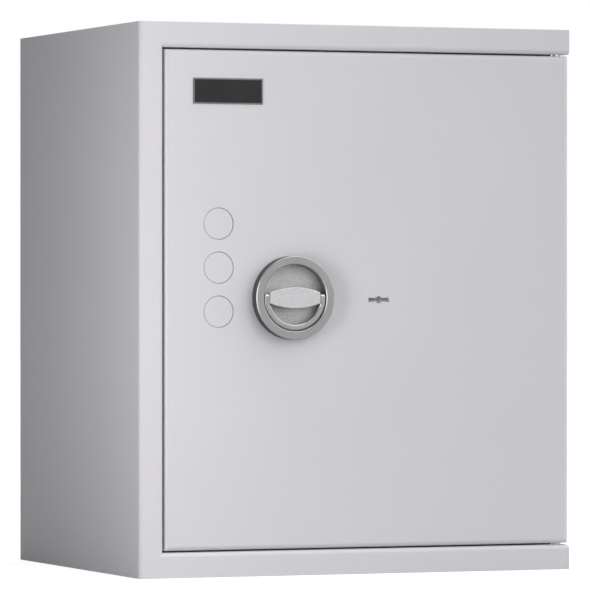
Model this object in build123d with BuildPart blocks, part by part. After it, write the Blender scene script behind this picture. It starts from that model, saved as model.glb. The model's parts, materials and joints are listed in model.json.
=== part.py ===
from build123d import *
import os
from math import cos, radians, sin

os.makedirs("parts", exist_ok=True)

# Wall safe with a right-hung door, a folding ring handle and a double-bit key lock.
# Millimetres. Origin at the centre of the rear face that goes against the wall.
# +X is to the right seen from the front, +Y goes into the wall, +Z is up.
# Depths are measured from the front plane of the casing towards the wall.
# Rest position: door closed, all bolts drawn back, ring handle folded in.

# ---- casing ----
case_width = 508.0
case_height = 600.0
case_depth = 405.0
case_sheet = 3.0
bar_width = 27.5            # face width of the frame bars, and thickness of the walls
recess_depth = 43.5         # depth of the recess that takes the door
stop_sheet = 5.0            # frame that the door closes against and the bolts catch behind
stop_left = -199.0
stop_right = 216.0
stop_half_height = 245.0
stop_corner_radius = 6.0
back_sheet = 4.0
liner_sheet = 1.5
cavity_back = 375.0
bend_radius = 5.0           # outside of the casing's folds
weld_edge_radius = 0.6
board_joint = 0.5           # joint between the filling boards

half_width = case_width / 2
half_height = case_height / 2
cavity_half_width = half_width - bar_width
cavity_half_height = half_height - bar_width
stop_back = recess_depth + stop_sheet

# ---- wall fixing ----
anchor_spacing_x = 300.0
anchor_spacing_z = 400.0
anchor_radius = 7.0
sleeve_radius = 10.0

# ---- door ----
door_gap = 1.8              # above and below the door
closing_gap = 2.5           # at the door's left edge
door_sheet = 4.0
door_face = 1.0
door_back = 40.0
door_left = -half_width + bar_width + closing_gap
door_right = half_width - 0.5
door_half_height = cavity_half_height - door_gap
door_plate_back = door_face + door_sheet
mounting_sheet = 3.0
mounting_front = door_back - mounting_sheet
door_fold_radius = 5.0
door_corner_radius = 1.2

# ---- hinge ----
pivot_x = 241.0
pivot_depth = 13.0
hinge_pin_radius = 5.0
hinge_shoulder_radius = 6.5
hinge_bush_radius = 7.0
hinge_block_length = 34.0
hinge_block_half_width = 11.0
hinge_block_back = 24.0
hinge_bush_floor = 3.0
hinge_pin_reach = 29.0      # how far the pin goes into the door
hinge_pin_end = half_height - 8.0
dog_bar_half_height = 200.0
running_clearance = 0.05

# ---- handle ----
handle_x = -78.2
handle_z = 2.2
rim_radius = 45.5
rim_bore_radius = 36.5
rim_face = -12.0            # the rim stands proud of the casing front
rim_screw_circle = 41.0
rim_screw_radius = 1.95
dish_radius = 36.4
dish_floor = 1.0
dish_floor_thickness = 3.0
hub_radius = 13.0
hub_length = 10.0
bridge_half_length = 29.0
bridge_half_height = 11.4
bridge_end_half_height = 6.0
bridge_thickness = 5.0
bridge_pillar_offset = 20.0
bridge_pillar_radius = 5.0
bridge_screw_radius = 2.45
bail_outer_radius = 35.5
bail_inner_radius = 29.3
bail_front = -11.2
bail_back = -4.8
bail_top = 4.3
bail_step_length = 12.8      # flat on the inside of each end, beside the bridge
bail_pivot_depth = -8.0
bail_pin_radius = 1.6
bail_end_radius = 3.0          # rounding at the top of each end
spindle_radius = 8.0
spindle_square = 11.0
spindle_stub_radius = 5.0
spindle_passage_radius = 12.0
handle_pocket_back = 15.0      # pocket in the door filling behind the handle
bush_radius = 11.0
bush_flange_radius = 14.0
bush_flange_sheet = 2.0
bush_front = 34.0
bush_back = 45.0
rim_screw_length = 11.0
rim_screw_head_radius = 3.8
bridge_screw_head_radius = 4.5
flat_head_height = 3.0

# ---- boltwork ----
bolt_radius = 11.0
bolt_depth = 60.0
bolt_throw = 20.0
bolt_chamfer = 2.0
bolt_stud_radius = 5.0
bolt_hole_play = 0.5         # round the bolts where they pass the cover
side_bolt_tip = -192.0
side_bolt_heights = (-150.0, 150.0)
end_bolt_tip = 238.0
bar_front = 56.0
bar_thickness = 5.0
bar_half_width = 9.0
cross_pin_height = 195.0
cross_pin_radius = 2.5
keeper_heights = (-120.0, 120.0)
keeper_half_width = 15.0
keeper_half_height = 5.0
keeper_back = 66.0
bar_play = 0.1                # between the bars and their keepers
side_bar_sheet = 5.0
side_bar_half_depth = 13.0
side_bar_half_height = 175.0
stud_reach = 9.0              # how far the side bolts' studs stand out behind their bar
nut_flat_radius = 8.5
nut_height = 7.0
end_bolt_root = 180.0
end_bar_reach = 210.0
end_slot_half_width = 12.0
pin_half_length = 10.0
pin_bore_half_length = 12.0
follower_gap = 0.3            # between the follower pins and the cam's front face
guide_sheet = 4.0
guide_foot_sheet = 3.0
guide_back = 74.0
side_guide_left = -188.0
side_guide_half_height = 190.0
end_guide_inner = 228.0
end_guide_half_width = 28.0
cam_front = 48.0
cam_thickness = 6.0
cam_radius = 54.0
cam_slot_start = 18.0       # radius of the slots' inner ends
follower_radius = 4.0
follower_clearance = 0.12
cam_notch_floor = 46.0
cover_left = -190.0
cover_right = 172.0
cover_half_height = 236.0
cover_back = 80.0
cover_sheet = 1.5
cover_fold_radius = 2.0
pillar_places = [(-140, -205), (-140, 205), (152, -205), (152, 205)]
pillar_radius = 6.0
cover_screw_radius = 2.45
cover_screw_length = 12.0
cover_thread_depth = 20.0
cover_head_radius = 4.75
cover_head_height = 2.7
cover_socket_radius = 1.5
cover_socket_depth = 1.8
screw_hole_play = 0.25

# ---- key lock ----
key_x = 24.9
key_z = 0.0
keyhole_half_length = 12.25
keyhole_wing_half = 2.5
keyhole_neck_half = 1.85
keyhole_post_radius = 3.9
curtain_radius = 15.0
curtain_stub_radius = 6.0
guide_tube_radius = 14.5
guide_tube_bore_radius = 13.0
seal_sheet = 1.2
seal_slit_half_width = 0.2
seal_cross_half_height = 3.6
drill_plate_front = 31.0
drill_plate_half_width = 39.0
drill_plate_half_height = 40.0
lock_left = -21.0
lock_right = 59.0
lock_half_height = 31.0
lock_back = 56.5
lock_wall = 2.5
lock_bolt_throw = 9.0
tongue_half_height = 6.0
tongue_front = 47.5
tongue_back = 54.5
lock_cover_sheet = 2.0
lock_screw_radius = 2.05
lock_screw_head_radius = 3.6
lock_screw_head_height = 2.5
lock_post_radius = 4.0
lock_near_inset = 6.0          # screws' distance from the case's edges, on the bolt side
lock_far_inset = 4.0
curtain_end_gap = 0.3
curtain_slot_depth = 15.0
fork_half_height = 22.0
lever_post = (45.0, -19.0)
lever_post_radius = 2.5
lever_count = 6
lever_pitch = 1.35
stump_x = key_x - 5.0
stump_z = 19.5
stump_radius = 2.0

# ---- blanked openings and plate on the door face ----
cap_x = -162.6
cap_heights = (82.4, 34.75, -12.9)
cap_hole_radius = 17.5
cap_radius = 17.35
cap_recess = 0.3
cap_edge_radius = 2.0
cap_flange_radius = 20.5
cap_flange_sheet = 1.5
cap_pocket_back = 7.0
plate_x = -151.9
plate_z = 225.9
plate_length = 80.8
plate_height = 28.2
plate_sheet = 1.0

# ---- shelf ----
shelf_half_width = 222.5
shelf_top = 10.0
shelf_front = 96.0
shelf_back = 365.0
shelf_sheet = 1.5
shelf_lip = 22.0
strip_depths = (120.0, 340.0)
strip_thickness = 3.0
strip_width = 20.0
strip_half_height = 255.0
strip_pitch = 30.0
strip_slot_half_width = 5.0
strip_slot_half_height = 1.5
clip_sheet = 1.5
clip_half_width = 8.0
clip_ledge = 13.0
clip_drop = 10.0


def front_plane(depth, x=0.0, z=0.0):
    """Plane parallel to the front, `depth` behind it, facing the front, drawn in x and z."""
    return Plane(origin=(x, depth - case_depth, z), x_dir=(1, 0, 0), z_dir=(0, -1, 0))


def block(x_from, x_to, depth_from, depth_to, z_from, z_to, mode=Mode.ADD):
    """Rectangular block between two x values, two depths and two heights."""
    middle = (
        (x_from + x_to) / 2,
        (depth_from + depth_to) / 2 - case_depth,
        (z_from + z_to) / 2,
    )
    with Locations(middle):
        Box(x_to - x_from, depth_to - depth_from, z_to - z_from, mode=mode)


def rod_in(x, z, radius, depth_from, depth_to, mode=Mode.ADD):
    """Round rod that runs into the wall, between two depths."""
    middle = (depth_from + depth_to) / 2 - case_depth
    with Locations(Location((x, middle, z), (90, 0, 0))):
        Cylinder(radius, depth_to - depth_from, mode=mode)


def rod_across(depth, z, radius, x_from, x_to, mode=Mode.ADD):
    """Round rod that runs from left to right."""
    with Locations(Location(((x_from + x_to) / 2, depth - case_depth, z), (0, 90, 0))):
        Cylinder(radius, x_to - x_from, mode=mode)


def rod_up(x, depth, radius, z_from, z_to, mode=Mode.ADD):
    """Round rod that runs upwards, given its two ends in either order."""
    with Locations((x, depth - case_depth, (z_from + z_to) / 2)):
        Cylinder(radius, abs(z_to - z_from), mode=mode)


def keyhole_profile(grow=0.0):
    """Double-bit keyhole: a round post opening with two wings that widen outwards."""
    end = keyhole_half_length + grow
    wing = keyhole_wing_half + grow
    neck = keyhole_neck_half + grow
    middle = 2.0
    Circle(keyhole_post_radius + grow)
    Polygon(
        (-end, -wing),
        (-middle, -neck),
        (middle, -neck),
        (end, -wing),
        (end, wing),
        (middle, neck),
        (-middle, neck),
        (-end, wing),
        align=None,
    )


# ======================= casing =======================

# Folded and welded sheet casing. The frame bars are its front returns with a flange that
# runs back to the door stop. There is no bar on the right, where the door reaches the side.
with BuildPart() as outer_casing:
    block(-half_width, half_width, 0, case_depth, -half_height, half_height)
    front_left_bend = outer_casing.edges().filter_by(Axis.Z).group_by(Axis.Y)[0].sort_by(Axis.X)[0]
    fillet(front_left_bend, bend_radius)
    front_welds = outer_casing.edges().filter_by(Axis.X).group_by(Axis.Y)[0]
    fillet(front_welds, weld_edge_radius)
    block(
        -half_width + case_sheet,
        half_width - case_sheet,
        case_sheet,
        case_depth,
        -half_height + case_sheet,
        half_height - case_sheet,
        Mode.SUBTRACT,
    )
    for side in (-1, 1):
        flange = sorted((side * cavity_half_height, side * (cavity_half_height + case_sheet)))
        block(-cavity_half_width - case_sheet, half_width, 0, recess_depth, *flange)
    block(
        -cavity_half_width - case_sheet,
        -cavity_half_width,
        0,
        recess_depth,
        -cavity_half_height,
        cavity_half_height,
    )
    block(
        -cavity_half_width,
        half_width,
        0,
        recess_depth,
        -cavity_half_height,
        cavity_half_height,
        Mode.SUBTRACT,
    )
    bar_edges = (
        outer_casing.edges()
        .group_by(Axis.Y)[0]
        .filter_by_position(Axis.Z, -cavity_half_height - 0.1, cavity_half_height + 0.1)
        .filter_by(lambda edge: edge.center().X > -cavity_half_width - 0.1)
    )
    fillet(bar_edges, bend_radius)
    for side in (-1, 1):
        rod_up(
            pivot_x,
            pivot_depth,
            hinge_pin_radius + running_clearance,
            side * (cavity_half_height - 1),
            side * (cavity_half_height + case_sheet + 1),
            Mode.SUBTRACT,
        )
outer_casing.part.label = "outer_casing"
export_step(outer_casing.part, "parts/outer_casing.step")

# Rear wall, let into the casing, with four holes for the wall anchors.
with BuildPart() as back_plate:
    block(
        -half_width + case_sheet,
        half_width - case_sheet,
        case_depth - back_sheet,
        case_depth,
        -half_height + case_sheet,
        half_height - case_sheet,
    )
    with Locations(front_plane(case_depth - back_sheet)):
        with GridLocations(anchor_spacing_x, anchor_spacing_z, 2, 2):
            Hole(anchor_radius)
back_plate.part.label = "back_plate"
export_step(back_plate.part, "parts/back_plate.step")

# Frame plate behind the recess: the door closes against it and the bolts catch behind it.
with BuildPart() as door_stop_frame:
    with BuildSketch(front_plane(recess_depth)):
        Rectangle(case_width - 2 * case_sheet, case_height - 2 * case_sheet)
        with Locations(((stop_left + stop_right) / 2, 0)):
            RectangleRounded(
                stop_right - stop_left,
                2 * stop_half_height,
                stop_corner_radius,
                mode=Mode.SUBTRACT,
            )
    extrude(amount=-stop_sheet)
door_stop_frame.part.label = "door_stop_frame"
export_step(door_stop_frame.part, "parts/door_stop_frame.step")

# Thin box that lines the storage space.
with BuildPart() as inner_liner:
    block(
        -cavity_half_width - liner_sheet,
        cavity_half_width + liner_sheet,
        stop_back,
        cavity_back + liner_sheet,
        -cavity_half_height - liner_sheet,
        cavity_half_height + liner_sheet,
    )
    block(
        -cavity_half_width,
        cavity_half_width,
        stop_back,
        cavity_back,
        -cavity_half_height,
        cavity_half_height,
        Mode.SUBTRACT,
    )
    with Locations(front_plane(cavity_back)):
        with GridLocations(anchor_spacing_x, anchor_spacing_z, 2, 2):
            Hole(anchor_radius)
inner_liner.part.label = "inner_liner"
export_step(inner_liner.part, "parts/inner_liner.step")

# Five fire-resistant boards between the casing and the liner: one behind, four round the sides.
filling_half_width = half_width - case_sheet
filling_half_height = half_height - case_sheet
liner_half_width = cavity_half_width + liner_sheet
liner_half_height = cavity_half_height + liner_sheet
liner_back = cavity_back + liner_sheet
with BuildPart() as wall_filling:
    block(
        -filling_half_width,
        filling_half_width,
        liner_back,
        case_depth - back_sheet,
        -filling_half_height,
        filling_half_height,
    )
    with Locations(front_plane(liner_back)):
        with GridLocations(anchor_spacing_x, anchor_spacing_z, 2, 2):
            Hole(sleeve_radius)
    side_board_back = liner_back - board_joint
    for side in (-1, 1):
        widths = sorted((side * liner_half_width, side * filling_half_width))
        block(*widths, stop_back, side_board_back, -filling_half_height, filling_half_height)
        heights = sorted((side * liner_half_height, side * filling_half_height))
        end_board_half_width = liner_half_width - board_joint
        block(-end_board_half_width, end_board_half_width, stop_back, side_board_back, *heights)
wall_filling.part.label = "wall_filling"
export_step(wall_filling.part, "parts/wall_filling.step")

# Four tubes that carry the wall anchors through the rear filling.
with BuildPart() as anchor_sleeves:
    with BuildSketch(front_plane(cavity_back + liner_sheet)):
        with GridLocations(anchor_spacing_x, anchor_spacing_z, 2, 2):
            Circle(sleeve_radius)
            Circle(anchor_radius, mode=Mode.SUBTRACT)
    extrude(amount=-(case_depth - back_sheet - cavity_back - liner_sheet))
anchor_sleeves.part.label = "anchor_sleeves"
export_step(anchor_sleeves.part, "parts/anchor_sleeves.step")

# Two blocks inside the bars' right ends that hold the hinge pins.
with BuildPart() as hinge_mounts:
    for side in (-1, 1):
        heights = sorted((side * (cavity_half_height + case_sheet), side * (half_height - case_sheet)))
        block(
            pivot_x - hinge_block_half_width,
            half_width - case_sheet,
            case_sheet,
            hinge_block_back,
            *heights,
        )
        rod_up(
            pivot_x,
            pivot_depth,
            hinge_pin_radius + running_clearance,
            side * cavity_half_height,
            side * half_height,
            Mode.SUBTRACT,
        )
hinge_mounts.part.label = "hinge_mounts"
export_step(hinge_mounts.part, "parts/hinge_mounts.step")

# Two hinge pins, each with a thrust shoulder in the gap between the bar and the door.
with BuildPart() as hinge_pins:
    for side in (-1, 1):
        rod_up(
            pivot_x,
            pivot_depth,
            hinge_pin_radius,
            side * (door_half_height - hinge_pin_reach),
            side * hinge_pin_end,
        )
        rod_up(
            pivot_x,
            pivot_depth,
            hinge_shoulder_radius,
            side * (door_half_height + 0.1),
            side * (cavity_half_height - 0.1),
        )
hinge_pins.part.label = "hinge_pins"
export_step(hinge_pins.part, "parts/hinge_pins.step")

# Four slotted strips on the side walls that take the shelf clips.
with BuildPart() as shelf_strips:
    for side in (-1, 1):
        for depth in strip_depths:
            wall = side * cavity_half_width
            inner = side * (cavity_half_width - strip_thickness)
            block(
                min(wall, inner),
                max(wall, inner),
                depth - strip_width / 2,
                depth + strip_width / 2,
                -strip_half_height,
                strip_half_height,
            )
            slot_count = 2 * int((strip_half_height - 10) / strip_pitch) + 1
            for step in range(slot_count):
                height = (step - slot_count // 2) * strip_pitch
                block(
                    min(wall, inner),
                    max(wall, inner),
                    depth - strip_slot_half_width,
                    depth + strip_slot_half_width,
                    height - strip_slot_half_height,
                    height + strip_slot_half_height,
                    Mode.SUBTRACT,
                )
shelf_strips.part.label = "shelf_strips"
export_step(shelf_strips.part, "parts/shelf_strips.step")

# Four clips: a tongue in the strip's slot, a backing plate and a ledge under the shelf.
with BuildPart() as shelf_clips:
    ledge_top = shelf_top - shelf_sheet
    strip_face = cavity_half_width - strip_thickness
    slot_tongue_half_width = strip_slot_half_width - 0.2
    slot_tongue_half_height = strip_slot_half_height - 0.1
    for side in (-1, 1):
        for depth in strip_depths:
            tongue = sorted((side * (cavity_half_width - 0.4), side * (strip_face - 1)))
            plate = sorted((side * strip_face, side * (strip_face - clip_sheet)))
            ledge = sorted((side * strip_face, side * (strip_face - clip_ledge)))
            front = depth - clip_half_width
            back = depth + clip_half_width
            block(
                *tongue,
                depth - slot_tongue_half_width,
                depth + slot_tongue_half_width,
                -slot_tongue_half_height,
                slot_tongue_half_height,
            )
            block(*plate, front, back, -clip_drop, ledge_top)
            block(*ledge, front, back, ledge_top - clip_sheet, ledge_top)
shelf_clips.part.label = "shelf_clips"
export_step(shelf_clips.part, "parts/shelf_clips.step")

# Sheet shelf with its front and rear edges folded down.
with BuildPart() as shelf:
    block(-shelf_half_width, shelf_half_width, shelf_front, shelf_back, shelf_top - shelf_lip, shelf_top)
    folds = shelf.edges().filter_by(Axis.X).group_by(Axis.Z)[-1]
    fillet(folds, 2.5)
    block(
        -shelf_half_width,
        shelf_half_width,
        shelf_front + shelf_sheet,
        shelf_back - shelf_sheet,
        shelf_top - shelf_lip,
        shelf_top - shelf_sheet,
        Mode.SUBTRACT,
    )
shelf.part.label = "shelf"
export_step(shelf.part, "parts/shelf.step")

# ======================= door =======================

# Front plate folded back on all four sides into a pan.
with BuildPart() as door_front_plate:
    block(door_left, door_right, door_face, door_back, -door_half_height, door_half_height)
    pan_corners = door_front_plate.edges().filter_by(Axis.Y)
    fillet(pan_corners, door_corner_radius)
    pan_folds = door_front_plate.faces().sort_by(Axis.Y)[0].edges()
    fillet(pan_folds, door_fold_radius)
    block(
        door_left + door_sheet,
        door_right - door_sheet,
        door_plate_back,
        door_back,
        -door_half_height + door_sheet,
        door_half_height - door_sheet,
        Mode.SUBTRACT,
    )
    rod_in(handle_x, handle_z, dish_radius + 0.3, 0, door_plate_back, Mode.SUBTRACT)
    for height in cap_heights:
        rod_in(cap_x, height, cap_hole_radius, 0, door_plate_back, Mode.SUBTRACT)
    for turn in range(4):
        angle = radians(45 + 90 * turn)
        rod_in(
            handle_x + rim_screw_circle * cos(angle),
            handle_z + rim_screw_circle * sin(angle),
            rim_screw_radius + 0.25,
            0,
            door_plate_back,
            Mode.SUBTRACT,
        )
    with BuildSketch(front_plane(door_face, key_x, key_z)):
        keyhole_profile()
    extrude(amount=-door_sheet, mode=Mode.SUBTRACT)
    rod_up(pivot_x, pivot_depth, hinge_bush_radius, -half_height, half_height, Mode.SUBTRACT)
door_front_plate.part.label = "door_front_plate"
export_step(door_front_plate.part, "parts/door_front_plate.step")

# Filling of the pan, with pockets for everything that passes through the door.
with BuildPart() as door_filling:
    block(
        door_left + door_sheet,
        door_right - door_sheet,
        door_plate_back,
        mounting_front,
        -door_half_height + door_sheet,
        door_half_height - door_sheet,
    )
    rod_in(handle_x, handle_z, rim_radius + 2, door_plate_back, handle_pocket_back, Mode.SUBTRACT)
    rod_in(handle_x, handle_z, spindle_passage_radius, handle_pocket_back, mounting_front, Mode.SUBTRACT)
    rod_in(key_x, key_z, guide_tube_radius, door_plate_back, mounting_front, Mode.SUBTRACT)
    block(
        key_x - drill_plate_half_width,
        key_x + drill_plate_half_width,
        drill_plate_front,
        mounting_front,
        -drill_plate_half_height,
        drill_plate_half_height,
        Mode.SUBTRACT,
    )
    for height in cap_heights:
        rod_in(cap_x, height, cap_flange_radius + 0.5, door_plate_back, cap_pocket_back, Mode.SUBTRACT)
    for side in (-1, 1):
        heights = sorted(
            (
                side * (door_half_height - door_sheet),
                side * (door_half_height - door_sheet - hinge_block_length),
            )
        )
        block(
            pivot_x - hinge_block_half_width,
            door_right - door_sheet,
            door_plate_back,
            hinge_block_back,
            *heights,
            Mode.SUBTRACT,
        )
door_filling.part.label = "door_filling"
export_step(door_filling.part, "parts/door_filling.step")

# Plate that closes the pan and carries the boltwork and the lock.
with BuildPart() as door_mounting_plate:
    block(
        door_left + door_sheet,
        door_right - door_sheet,
        mounting_front,
        door_back,
        -door_half_height + door_sheet,
        door_half_height - door_sheet,
    )
    rod_in(handle_x, handle_z, bush_radius, mounting_front, door_back, Mode.SUBTRACT)
    rod_in(key_x, key_z, guide_tube_radius, mounting_front, door_back, Mode.SUBTRACT)
door_mounting_plate.part.label = "door_mounting_plate"
export_step(door_mounting_plate.part, "parts/door_mounting_plate.step")

# Hardened plate in front of the lock.
with BuildPart() as drill_plate:
    block(
        key_x - drill_plate_half_width,
        key_x + drill_plate_half_width,
        drill_plate_front,
        mounting_front,
        -drill_plate_half_height,
        drill_plate_half_height,
    )
    rod_in(key_x, key_z, guide_tube_radius, drill_plate_front, mounting_front, Mode.SUBTRACT)
drill_plate.part.label = "drill_plate"
export_step(drill_plate.part, "parts/drill_plate.step")

# Tube that guides the key through the door.
with BuildPart() as key_guide_tube:
    with BuildSketch(front_plane(door_plate_back, key_x, key_z)):
        Circle(guide_tube_radius)
        Circle(guide_tube_bore_radius, mode=Mode.SUBTRACT)
    extrude(amount=-(door_back - door_plate_back))
key_guide_tube.part.label = "key_guide_tube"
export_step(key_guide_tube.part, "parts/key_guide_tube.step")

# Rubber seal just behind the keyhole, with a cross-shaped slit that the key pushes through.
with BuildPart() as keyhole_seal:
    with BuildSketch(front_plane(door_plate_back, key_x, key_z)):
        Circle(guide_tube_bore_radius - 0.05)
        Rectangle(2 * keyhole_half_length, 2 * seal_slit_half_width, mode=Mode.SUBTRACT)
        Rectangle(2 * seal_slit_half_width, 2 * seal_cross_half_height, mode=Mode.SUBTRACT)
    extrude(amount=-seal_sheet)
keyhole_seal.part.label = "keyhole_seal"
export_step(keyhole_seal.part, "parts/keyhole_seal.step")

# Three caps with rounded edges that close the round openings from behind.
with BuildPart() as blanking_caps:
    for height in cap_heights:
        rod_in(cap_x, height, cap_radius, door_face + cap_recess, door_plate_back)
        rod_in(cap_x, height, cap_flange_radius, door_plate_back, door_plate_back + cap_flange_sheet)
    cap_rims = blanking_caps.edges().group_by(Axis.Y)[0]
    fillet(cap_rims, cap_edge_radius)
blanking_caps.part.label = "blanking_caps"
export_step(blanking_caps.part, "parts/blanking_caps.step")

# Blank plate on the door face.
with BuildPart() as name_plate:
    with BuildSketch(front_plane(door_face, plate_x, plate_z)):
        RectangleRounded(plate_length, plate_height, 1)
    extrude(amount=plate_sheet)
    plate_rim = name_plate.faces().sort_by(Axis.Y)[0].edges()
    chamfer(plate_rim, 0.3)
name_plate.part.label = "name_plate"
export_step(name_plate.part, "parts/name_plate.step")

# Blocks in the pan's right corners that hold the hinge bushes.
with BuildPart() as hinge_blocks:
    for side in (-1, 1):
        heights = sorted(
            (
                side * (door_half_height - door_sheet),
                side * (door_half_height - door_sheet - hinge_block_length),
            )
        )
        block(
            pivot_x - hinge_block_half_width,
            door_right - door_sheet,
            door_plate_back,
            hinge_block_back,
            *heights,
        )
        rod_up(
            pivot_x,
            pivot_depth,
            hinge_bush_radius,
            side * door_half_height,
            side * (door_half_height - hinge_block_length),
            Mode.SUBTRACT,
        )
hinge_blocks.part.label = "hinge_blocks"
export_step(hinge_blocks.part, "parts/hinge_blocks.step")

# Bushes that turn on the hinge pins.
with BuildPart() as hinge_bushes:
    for side in (-1, 1):
        top = side * door_half_height
        bottom = side * (door_half_height - hinge_block_length)
        rod_up(pivot_x, pivot_depth, hinge_bush_radius, bottom, top)
        rod_up(
            pivot_x,
            pivot_depth,
            hinge_pin_radius + running_clearance,
            bottom + side * hinge_bush_floor,
            top,
            Mode.SUBTRACT,
        )
hinge_bushes.part.label = "hinge_bushes"
export_step(hinge_bushes.part, "parts/hinge_bushes.step")

# Angle bar whose long edge stands behind the hinge-side jamb when the door is closed.
with BuildPart() as hinge_dog_bar:
    with BuildSketch(Plane.XY.offset(-dog_bar_half_height)):
        with Locations((0, -case_depth)):
            Polygon(
                (176, door_back),
                (203, door_back),
                (203, 56),
                (226, 56),
                (226, 64),
                (198, 64),
                (198, door_back + 4),
                (176, door_back + 4),
                align=None,
            )
    extrude(amount=2 * dog_bar_half_height)
    nose = hinge_dog_bar.edges().filter_by(Axis.Z).group_by(Axis.X)[-1]
    fillet(nose, 1.5)
hinge_dog_bar.part.label = "hinge_dog_bar"
export_step(hinge_dog_bar.part, "parts/hinge_dog_bar.step")

# Bracket that guides the side bolts.
with BuildPart() as bolt_guide_side:
    web_right = side_guide_left + guide_sheet
    foot_right = side_guide_left + 20
    foot_back = door_back + guide_foot_sheet
    heights = (-side_guide_half_height, side_guide_half_height)
    block(side_guide_left, web_right, door_back, guide_back, *heights)
    block(side_guide_left, foot_right, door_back, foot_back, *heights)
    for height in side_bolt_heights:
        rod_across(
            bolt_depth,
            height,
            bolt_radius + running_clearance,
            side_guide_left - 1,
            web_right + 1,
            Mode.SUBTRACT,
        )
bolt_guide_side.part.label = "bolt_guide_side"
export_step(bolt_guide_side.part, "parts/bolt_guide_side.step")


def end_guide(side):
    """Bracket that guides the top bolt (side 1) or the bottom bolt (side -1)."""
    with BuildPart() as guide:
        outer = end_guide_inner + guide_sheet
        widths = (handle_x - end_guide_half_width, handle_x + end_guide_half_width)
        plate = sorted((side * end_guide_inner, side * outer))
        foot = sorted((side * (end_guide_inner - 22), side * outer))
        block(*widths, door_back, guide_back, *plate)
        block(*widths, door_back, door_back + guide_foot_sheet, *foot)
        rod_up(
            handle_x,
            bolt_depth,
            bolt_radius + running_clearance,
            side * (end_guide_inner - 1),
            side * (outer + 1),
            Mode.SUBTRACT,
        )
    return guide


bolt_guide_top = end_guide(1)
bolt_guide_top.part.label = "bolt_guide_top"
export_step(bolt_guide_top.part, "parts/bolt_guide_top.step")

bolt_guide_bottom = end_guide(-1)
bolt_guide_bottom.part.label = "bolt_guide_bottom"
export_step(bolt_guide_bottom.part, "parts/bolt_guide_bottom.step")

# Two keepers that the vertical bars slide through.
with BuildPart() as bar_keepers:
    for height in keeper_heights:
        keeper_low = height - keeper_half_height
        keeper_high = height + keeper_half_height
        block(
            handle_x - keeper_half_width,
            handle_x + keeper_half_width,
            door_back,
            keeper_back,
            keeper_low,
            keeper_high,
        )
        block(
            handle_x - bar_half_width - bar_play,
            handle_x + bar_half_width + bar_play,
            bar_front - bar_play,
            bar_front + bar_thickness + bar_play,
            keeper_low,
            keeper_high,
            Mode.SUBTRACT,
        )
bar_keepers.part.label = "bar_keepers"
export_step(bar_keepers.part, "parts/bar_keepers.step")

# Pillars that hold the boltwork cover.
with BuildPart() as cover_pillars:
    for x, z in pillar_places:
        rod_in(x, z, pillar_radius, door_back, cover_back - cover_sheet)
        thread_radius = cover_screw_radius + running_clearance
        rod_in(x, z, thread_radius, cover_back - cover_thread_depth, cover_back, Mode.SUBTRACT)
cover_pillars.part.label = "cover_pillars"
export_step(cover_pillars.part, "parts/cover_pillars.step")

# Folded sheet cover over the boltwork.
with BuildPart() as boltwork_cover:
    block(cover_left, cover_right, door_back, cover_back, -cover_half_height, cover_half_height)
    cover_corners = boltwork_cover.edges().filter_by(Axis.Y)
    fillet(cover_corners, cover_fold_radius)
    cover_folds = boltwork_cover.faces().sort_by(Axis.Y)[-1].edges()
    fillet(cover_folds, cover_fold_radius)
    block(
        cover_left + cover_sheet,
        cover_right - cover_sheet,
        door_back,
        cover_back - cover_sheet,
        -cover_half_height + cover_sheet,
        cover_half_height - cover_sheet,
        Mode.SUBTRACT,
    )
    for height in side_bolt_heights:
        rod_across(
            bolt_depth,
            height,
            bolt_radius + bolt_hole_play,
            cover_left - 1,
            cover_left + 3,
            Mode.SUBTRACT,
        )
    rod_up(
        handle_x,
        bolt_depth,
        bolt_radius + bolt_hole_play,
        -cover_half_height - 1,
        cover_half_height + 1,
        Mode.SUBTRACT,
    )
    for x, z in pillar_places:
        hole_radius = cover_screw_radius + screw_hole_play
        rod_in(x, z, hole_radius, cover_back - 2 * cover_sheet, cover_back, Mode.SUBTRACT)
boltwork_cover.part.label = "boltwork_cover"
export_step(boltwork_cover.part, "parts/boltwork_cover.step")

# Four cover screws with round heads and hexagon sockets.
head_back = cover_back + cover_head_height
with BuildPart() as cover_screws:
    for x, z in pillar_places:
        rod_in(x, z, cover_screw_radius, cover_back - cover_screw_length, cover_back)
        rod_in(x, z, cover_head_radius, cover_back, head_back)
    screw_heads = cover_screws.faces().filter_by(Plane.XZ).group_by(Axis.Y)[-1].edges()
    fillet(screw_heads, 1.2)
    with BuildSketch(front_plane(head_back)):
        with Locations(*pillar_places):
            RegularPolygon(cover_socket_radius, 6, major_radius=False)
    extrude(amount=cover_socket_depth, mode=Mode.SUBTRACT)
cover_screws.part.label = "cover_screws"
export_step(cover_screws.part, "parts/cover_screws.step")

# ======================= handle =======================

# Fixed ring that the handle dish turns in.
with BuildPart() as handle_rim:
    with BuildSketch(front_plane(door_face, handle_x, handle_z)):
        Circle(rim_radius)
        Circle(rim_bore_radius, mode=Mode.SUBTRACT)
    extrude(amount=door_face - rim_face)
    rim_edges = handle_rim.edges().group_by(Axis.Y)[0]
    chamfer(rim_edges, 0.8)
    with Locations(Location((handle_x, door_face - case_depth, handle_z), (90, 0, 0))):
        with PolarLocations(rim_screw_circle, 4, start_angle=45):
            Cylinder(
                rim_screw_radius + 0.05,
                8,
                align=(Align.CENTER, Align.CENTER, Align.MIN),
                mode=Mode.SUBTRACT,
            )
handle_rim.part.label = "handle_rim"
export_step(handle_rim.part, "parts/handle_rim.step")

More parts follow.
